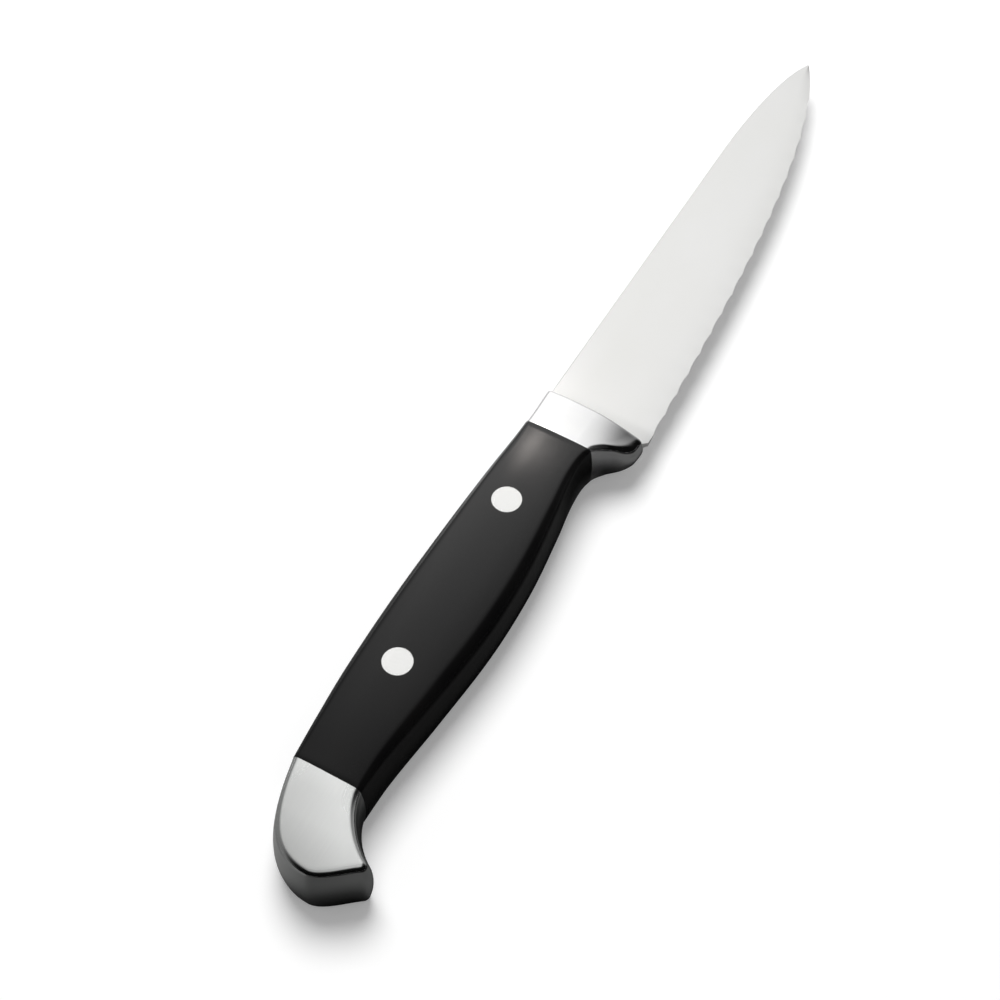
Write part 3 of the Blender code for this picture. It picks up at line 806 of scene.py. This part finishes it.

# %% [markdown]
# ## Brushed steel for the end cap
# The cap looks softer than the bolster, as if it was brushed along the knife and then only lightly
# buffed, so its lines run the other way from the blade's and are finer. In the photograph it darkens
# slowly towards the rear and the spine, through what it reflects of the room. The simple tent below has
# nothing to mirror there, so that shade is painted into the colour of the finish. The flat face has a
# matt share and the rim has none, because the rim is nearly black in the photograph.

# %% Brushed cap steel
# Painted shade: these slopes darken the cap's colour towards the rear, the end and the spine.
CAP_PAINTED_SHADE = [
    ((0.6, -0.8, 0.0), -0.0675, -0.0575, 0.75, 0.98),
    ((1.0, 0.0, 0.0), -0.111, -0.104, 0.83, 1.0),
    ((1.0, 0.0, 0.0), -0.0985, -0.0955, 0.943, 1.0),
]
CAP_FACE_MATT = [((0.0, 0.0, 1.0), 0.01406, 0.01418, 1.0, 0.72)]
brushed_steel, tree, shader = new_finish(
    "brushed_cap_steel", (0.70, 0.71, 0.70), roughness=0.17, metallic=1.0
)
brushing = noise(tree, (0.15, 7.0, 7.0), detail=3.0)
shaded = tree.nodes.new("ShaderNodeVectorMath")
shaded.operation = "SCALE"
tint(tree, brushing, (0.705, 0.716, 0.705), (0.737, 0.748, 0.737), shaded.inputs[0])
# The painted shade scales the brushed colour.
slopes(tree, CAP_PAINTED_SHADE, shaded.inputs["Scale"])
tree.links.new(shaded.outputs["Vector"], shader.inputs["Base Color"])
spread(tree, brushing, 0.14, 0.21, shader.inputs["Roughness"])
slopes(tree, CAP_FACE_MATT, shader.inputs["Metallic"])
bump(tree, shader, brushing, height=0.0002)

# %% [markdown]
# ## Black moulded plastic
# The grips are a dense black plastic, half gloss. What is seen is mostly the room's reflection, so the
# surface matters more than the colour: a barely uneven skin, as a mould leaves it, slight changes of
# roughness, and a gloss that fades towards the cap, the belly and the spine. The fading is taken from
# the photograph too, and some of it may be the room and not the plastic.

# %% Black plastic
GRIP_GLOSS = [
    ((1.0, 0.0, 0.0), -0.09, -0.01, 0.24, 0.74),
    ((0.0, 1.0, 0.0), -0.006, 0.012, 0.5, 1.0),
    ((-0.1, 1.0, 0.0), 0.014, 0.022, 1.0, 0.62),
]
black_plastic, tree, shader = new_finish(
    "black_grip_plastic", (0.004, 0.004, 0.0042), roughness=0.24, metallic=0.0
)
shader.inputs["IOR"].default_value = 1.48
handling = noise(tree, (0.08, 0.12, 0.12), detail=3.0)
mould_skin = noise(tree, (1.6, 1.6, 1.6), detail=2.0)
tint(tree, handling, (0.0035, 0.0035, 0.0037), (0.0052, 0.005, 0.005), shader.inputs["Base Color"])
spread(tree, handling, 0.17, 0.23, shader.inputs["Roughness"])
bump(tree, shader, mould_skin, height=0.0006)
slopes(tree, GRIP_GLOSS, shader.inputs["Specular IOR Level"])

# %% [markdown]
# ## Each piece takes the place of its CAD node
# The finer pieces stand for the CAD nodes of the same name, which are hidden. Nothing on this knife
# moves, so all of them ride on the one body, `root`. The table also names the record's material slot
# that each is finished in, but nothing here reads it.

# %% Dress the pieces and hand them to the frame
DRESSED = [
    (blade, "blade", satin_steel, "satin_steel"),
    (bolster, "bolster", polished_steel, "polished_steel"),
    (right_scale, "right_scale", black_plastic, "black_plastic"),
    (left_scale, "left_scale", black_plastic, "black_plastic"),
    (rivets[0], "front_rivet_pin", rivet_steel, "rivet_steel"),
    (rivets[1], "front_rivet_barrel", rivet_steel, "rivet_steel"),
    (rivets[2], "rear_rivet_pin", rivet_steel, "rivet_steel"),
    (rivets[3], "rear_rivet_barrel", rivet_steel, "rivet_steel"),
    (end_cap, "end_cap", brushed_steel, "brushed_steel"),
]
for piece, node, finish, slot in DRESSED:
    piece.data.materials.clear()
    piece.data.materials.append(finish)
    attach(piece, "root")
    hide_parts(node)
    print(piece.name, "stands for", node)

# %% [markdown]
# ## The camera
# The camera's place and turn were fitted, so that the CAD's outline falls on the photograph's: about half
# a metre away, looking down at 57 degrees, with the knife's point towards the upper right. The shape was
# drawn from the photograph with a 90 mm lens assumed. Lenses of 72 and 126 mm fitted worse, but on that
# same shape, so the lens is a fair guess and no measurement. The camera comes before the studio, because
# one card in the studio is placed by what the camera sees mirrored.

# %% Camera
CAMERA_AT = Vector((-0.26130, -0.13005, 0.42622))
TILT, TURN, ROLL = 33.36, 30.05, 0.05
camera_data = bpy.data.cameras.new("photo_camera")
camera_data.lens = 90
camera_data.sensor_width = 36
camera_data.clip_start = 0.01
camera = bpy.data.objects.new("photo_camera", camera_data)
bpy.context.scene.collection.objects.link(camera)
turned = Matrix.Rotation(math.radians(TURN - 90), 4, "Z") @ Matrix.Rotation(math.radians(TILT), 4, "X")
rolled = Matrix.Rotation(math.radians(ROLL), 4, "Z")
camera.matrix_world = Matrix.Translation(CAMERA_AT) @ turned @ rolled
bpy.context.scene.camera = camera
bpy.context.scene.view_settings.view_transform = "Standard"
print("camera at", [round(x, 3) for x in CAMERA_AT])

# %% [markdown]
# ## The table
# The knife lies on a plain white table. Near the knife the table takes its brightness from the lamp, so
# the shadow stays, and only a little is added where the camera looks. Far away it glows as white as the
# background, so no horizon shows in a low view.

# %% White table
TABLE_SIZE, TABLE_LEVEL = 8, -0.00002
TABLE_LIFT, TABLE_FAR = 0.22, (0.3, 1.1)


def seen_rays(tree):
    """1 for rays from the camera, a mirror or a glass, and 0 for those that only light things."""
    path = tree.nodes.new("ShaderNodeLightPath")
    total = path.outputs["Is Camera Ray"]
    for kind in ("Is Glossy Ray", "Is Transmission Ray"):
        total = combined(tree, "MAXIMUM", total, path.outputs[kind])
    return total


bpy.ops.object.select_all(action="DESELECT")
bpy.ops.mesh.primitive_plane_add(size=TABLE_SIZE, location=(0, 0, TABLE_LEVEL))
table = bpy.context.object
table.name = "white_table"
table_white, tree, shader = new_finish("white_table", (0.90, 0.90, 0.90), roughness=0.9, metallic=0.0)
shader.inputs["Specular IOR Level"].default_value = 0.0
shader.inputs["Emission Color"].default_value = (1, 1, 1, 1)
far_white = ranged(tree, on_object(tree, "LENGTH"), *TABLE_FAR, TABLE_LIFT, 1.0)
own_white = combined(tree, "MULTIPLY", seen_rays(tree), far_white)
tree.links.new(own_white, shader.inputs["Emission Strength"])
table.data.materials.append(table_white)

# %% [markdown]
# ## A dark tent
# Polished steel shows whatever stands round it, so the room is part of the finish. A photographer hangs
# cloth round the table: here it is a tent that only reflections see. One window towards the lamp turns
# the flat faces white in the photograph, a skylight does the same for a view from above, and the dark
# side draws the black lines round the cap and the guard. A veil lets a share of the white world through,
# so each part of the tent is only a direction and two angles.


# %% Cloth that only reflections see
def direction(azimuth, elevation):
    around, up = math.radians(azimuth), math.radians(elevation)
    return Vector((math.cos(around) * math.cos(up), math.sin(around) * math.cos(up), math.sin(up)))


def only_in_mirrors(piece, fabric):
    """Hides a stage piece from all but reflections, and returns its empty material's nodes."""
    piece.visible_camera = piece.visible_diffuse = piece.visible_shadow = False
    piece.visible_transmission = piece.visible_volume_scatter = False
    finish = bpy.data.materials.new(fabric)
    finish.use_nodes = True
    finish.node_tree.nodes.clear()
    piece.data.materials.append(finish)
    print(piece.name, "shows in mirrors only")
    return finish.node_tree


def veil(tree, openness, glow=None, color=(1, 1, 1)):
    """Lets a share of what is behind through, and may glow by itself."""
    through = tree.nodes.new("ShaderNodeBsdfTransparent")
    own_light = tree.nodes.new("ShaderNodeEmission")
    both = tree.nodes.new("ShaderNodeAddShader")
    result = tree.nodes.new("ShaderNodeOutputMaterial")
    own_light.inputs["Color"].default_value = (*color, 1)
    own_light.inputs["Strength"].default_value = 0.0
    if openness:
        tree.links.new(openness, through.inputs["Color"])
    if glow:
        tree.links.new(glow, own_light.inputs["Strength"])
    tree.links.new(through.outputs[0], both.inputs[0])
    tree.links.new(own_light.outputs[0], both.inputs[1])
    tree.links.new(both.outputs[0], result.inputs["Surface"])


print("straight up is", tuple(round(x, 3) for x in direction(0, 90)))

# %% Dark tent with a window and a skylight
WINDOW = dict(toward=direction(38, 46), outer=48, inner=8)
WINDOW_MIDDLE = dict(toward=direction(42, 50), outer=22, inner=4)
SKYLIGHT = dict(toward=direction(0, 90), outer=30, inner=12)
DARK_SIDE = dict(toward=direction(-130, 30), outer=100, inner=62)
THIN_CLOTH, THICK_CLOTH, SKYLIGHT_CLOTH = 0.35, 0.004, 0.7
WINDOW_GLOW = (0.21, 0.205, 0.20)
TENT_RADIUS = 3.5


def near_direction(tree, toward, outer, inner, most=1.0):
    """0 to most as a direction comes within outer and then inner degrees of one that is given."""
    place_on = tree.nodes.new("ShaderNodeTexCoord")
    unit = tree.nodes.new("ShaderNodeVectorMath")
    unit.operation = "NORMALIZE"
    dot = tree.nodes.new("ShaderNodeVectorMath")
    dot.operation = "DOT_PRODUCT"
    dot.inputs[1].default_value = toward
    tree.links.new(place_on.outputs["Object"], unit.inputs[0])
    tree.links.new(unit.outputs["Vector"], dot.inputs[0])
    limits = [math.cos(math.radians(angle)) for angle in (outer, inner)]
    return ranged(tree, dot.outputs["Value"], *limits, 0.0, most)


bpy.ops.object.select_all(action="DESELECT")
bpy.ops.mesh.primitive_uv_sphere_add(segments=48, ring_count=24, radius=TENT_RADIUS)
tent = bpy.context.object
tent.name = "dark_tent"
tree = only_in_mirrors(tent, "tent_cloth")
openness = ranged(tree, near_direction(tree, **DARK_SIDE), 0.0, 1.0, THIN_CLOTH, THICK_CLOTH)
openness = combined(tree, "MAXIMUM", openness, near_direction(tree, **WINDOW))
openness = combined(tree, "MAXIMUM", openness, near_direction(tree, **SKYLIGHT, most=SKYLIGHT_CLOTH))
veil(tree, openness, near_direction(tree, **WINDOW_MIDDLE), WINDOW_GLOW)

# %% [markdown]
# ## A painted shadow on the table
# The upright walls of the knife mirror the table, and on the belly's side they are nearly black in the
# photograph. So a thin dark sheet lies under the knife, again for reflections only: a painted shadow
# that deepens the knife's shadow on the table where the walls mirror it. It is darkest right beside the
# knife, which ambient occlusion finds. Behind the spine it opens up, and it is clear there along the
# blade.

# %% Painted shadow sheet on the table
SHADE_SHEET_RADIUS, SHADE_SHEET_PLACE = 1.5, (0, 0, -0.00001)
SHADE_SHEET_EDGE = (-0.008, 0.014)
SHADE_REACH, SHADE_ENDS = 0.012, (0.45, 0.95)
bpy.ops.object.select_all(action="DESELECT")
bpy.ops.mesh.primitive_circle_add(
    vertices=64, radius=SHADE_SHEET_RADIUS, fill_type="NGON", location=SHADE_SHEET_PLACE
)
shade_sheet = bpy.context.object
shade_sheet.name = "painted_shadow_sheet"
tree = only_in_mirrors(shade_sheet, "painted_shadow_veil")
along_knife = on_object(tree, "DOT_PRODUCT", (1.0, 0.0, 0.0))
towards_spine = on_object(tree, "DOT_PRODUCT", (0.0, 1.0, 0.0))
# Painted contact shadow: ambient occlusion darkens the sheet right beside the knife.
nearby = tree.nodes.new("ShaderNodeAmbientOcclusion")
nearby.samples = 8
nearby.inputs["Distance"].default_value = SHADE_REACH
painted_contact_shade = ranged(tree, nearby.outputs["AO"], *SHADE_ENDS, 0.008, 0.11)
far_side = ranged(tree, towards_spine, -0.045, -0.020, 0.1, 1.0)
# Painted shadow on the belly's side, where the lamp throws the knife's shadow.
painted_belly_shade = combined(tree, "MULTIPLY", painted_contact_shade, far_side)
behind_spine = ranged(tree, along_knife, -0.022, -0.002, 0.30, 1.0)
veil(tree, ranged(tree, towards_spine, *SHADE_SHEET_EDGE, painted_belly_shade, behind_spine))

# %% [markdown]
# ## A small warm card
# The front of the grip has a soft warm glow beside the bolster. It fades within a centimetre, so it may
# be the mirror image of something small and near. A ray from the camera to that spot, mirrored in the
# flat face, says where such a thing must hang, and there a little card glows, brightest in its middle.

# %% Warm card over the front of the grip
GLOWING_SPOT = place(HANDLE_JOINT + 2, 7.0, 6.2)
CARD_RADIUS, CARD_DISTANCE = 0.011, 0.055
CARD_GLOW, WARM_WHITE = 5.5, (1.0, 0.93, 0.88)
from_camera = GLOWING_SPOT - CAMERA_AT
mirrored = Vector((from_camera.x, from_camera.y, -from_camera.z)).normalized()
bpy.ops.object.select_all(action="DESELECT")
bpy.ops.mesh.primitive_circle_add(
    vertices=48,
    radius=CARD_RADIUS,
    fill_type="NGON",
    location=GLOWING_SPOT + mirrored * CARD_DISTANCE,
    rotation=mirrored.to_track_quat("Z", "Y").to_euler(),
)
card = bpy.context.object
card.name = "warm_card"
tree = only_in_mirrors(card, "warm_paper")
glow = ranged(tree, on_object(tree, "LENGTH"), 0.0, CARD_RADIUS, CARD_GLOW, 0.0)
veil(tree, None, glow, WARM_WHITE)

# %% [markdown]
# ## Light
# The world is a soft dome that fills the shadow. Where it is seen directly or in a mirror it is white,
# and only its share of the lighting is turned down. One large soft lamp behind the knife, on the spine's
# side, gives the rest, and puts the soft shadow on the belly's side. It is hidden from mirrors, because
# the tent's window already stands for it there.

# %% World and lamp
DOME_SHARE = 0.23
LAMP = dict(toward=direction(42, 65), distance=1.5, size=0.95, radiance=8.7)
world = bpy.data.worlds.new("studio_dome")
bpy.context.scene.world = world
world.use_nodes = True
tree = world.node_tree
background = tree.nodes["Background"]
background.inputs["Color"].default_value = (1, 1, 1, 1)
tree.links.new(ranged(tree, seen_rays(tree), 0.0, 1.0, DOME_SHARE, 1.0), background.inputs["Strength"])

lamp = bpy.data.lights.new("large_soft_lamp", "AREA")
lamp.shape, lamp.size = "DISK", LAMP["size"]
lamp.energy = LAMP["radiance"] * math.pi * math.pi * (LAMP["size"] / 2) ** 2
holder = bpy.data.objects.new("large_soft_lamp", lamp)
bpy.context.scene.collection.objects.link(holder)
holder.location = LAMP["toward"] * LAMP["distance"]
holder.rotation_euler = LAMP["toward"].to_track_quat("Z", "Y").to_euler()
holder.visible_glossy = False
print("the lamp gives", round(lamp.energy, 2), "W")
